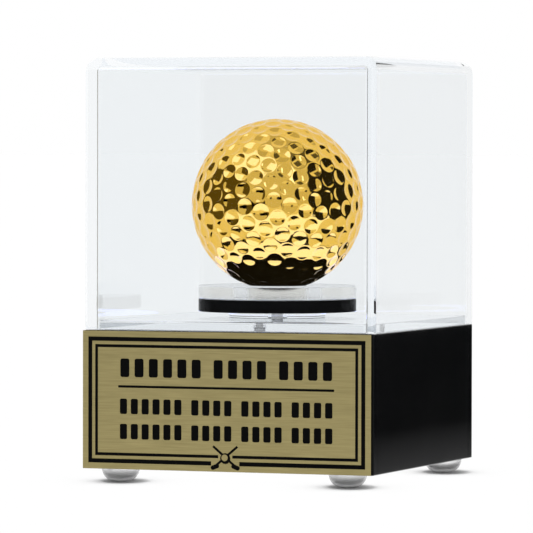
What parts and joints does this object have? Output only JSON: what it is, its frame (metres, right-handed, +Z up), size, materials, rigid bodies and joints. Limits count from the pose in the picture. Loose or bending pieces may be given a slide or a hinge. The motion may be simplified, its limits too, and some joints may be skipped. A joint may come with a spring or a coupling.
{
  "type": "golf ball display case",
  "caption": "Clear lift-off cover over a gold golf ball on a black and clear pedestal, standing on a black box base with a gold engraved plate and dome feet.",
  "frame": {"origin": "bottom centre of the whole object, on the surface that the feet stand on", "axes": "+Z up, the engraved plate faces -Y, +X to the right when facing the plate"},
  "size_m": [0.0766, 0.0782, 0.1055],
  "materials": {
    "black_acrylic": "polished black cast acrylic sheet",
    "adhesive": "thin transfer adhesive",
    "brushed_gold_plate": "brushed gold face over a black engraving core",
    "clear_rubber": "clear glossy polyurethane",
    "clear_acrylic": "polished clear acrylic",
    "steel": "zinc-plated machine screw",
    "gold_plating": "mirror gold plating over a dimpled golf ball"
  },
  "bodies": {
    "base": {"base_front_panel": "black_acrylic", "base_back_panel": "black_acrylic", "base_left_panel": "black_acrylic", "base_right_panel": "black_acrylic", "deck_panel": "black_acrylic", "bottom_panel": "black_acrylic", "plate_tape": "adhesive", "name_plate": "brushed_gold_plate", "foot_front_left": "clear_rubber", "foot_front_right": "clear_rubber", "foot_back_left": "clear_rubber", "foot_back_right": "clear_rubber", "floor_plate": "clear_acrylic", "riser_disc": "clear_acrylic", "pedestal_disc": "black_acrylic", "cradle_ring": "clear_acrylic", "centre_screw": "steel", "screw_washer": "steel"},
    "cover": {"cover": "clear_acrylic"},
    "ball": {"golf_ball": "gold_plating"}
  },
  "joints": [
    {"name": "cover_lift", "type": "slide", "parent": "base", "child": "cover", "axis": [0, 0, 1], "range_m": [0, 0.08]},
    {"name": "ball_lift", "type": "slide", "parent": "base", "child": "ball", "axis": [0, 0, 1], "range_m": [0, 0.012]}
  ]
}
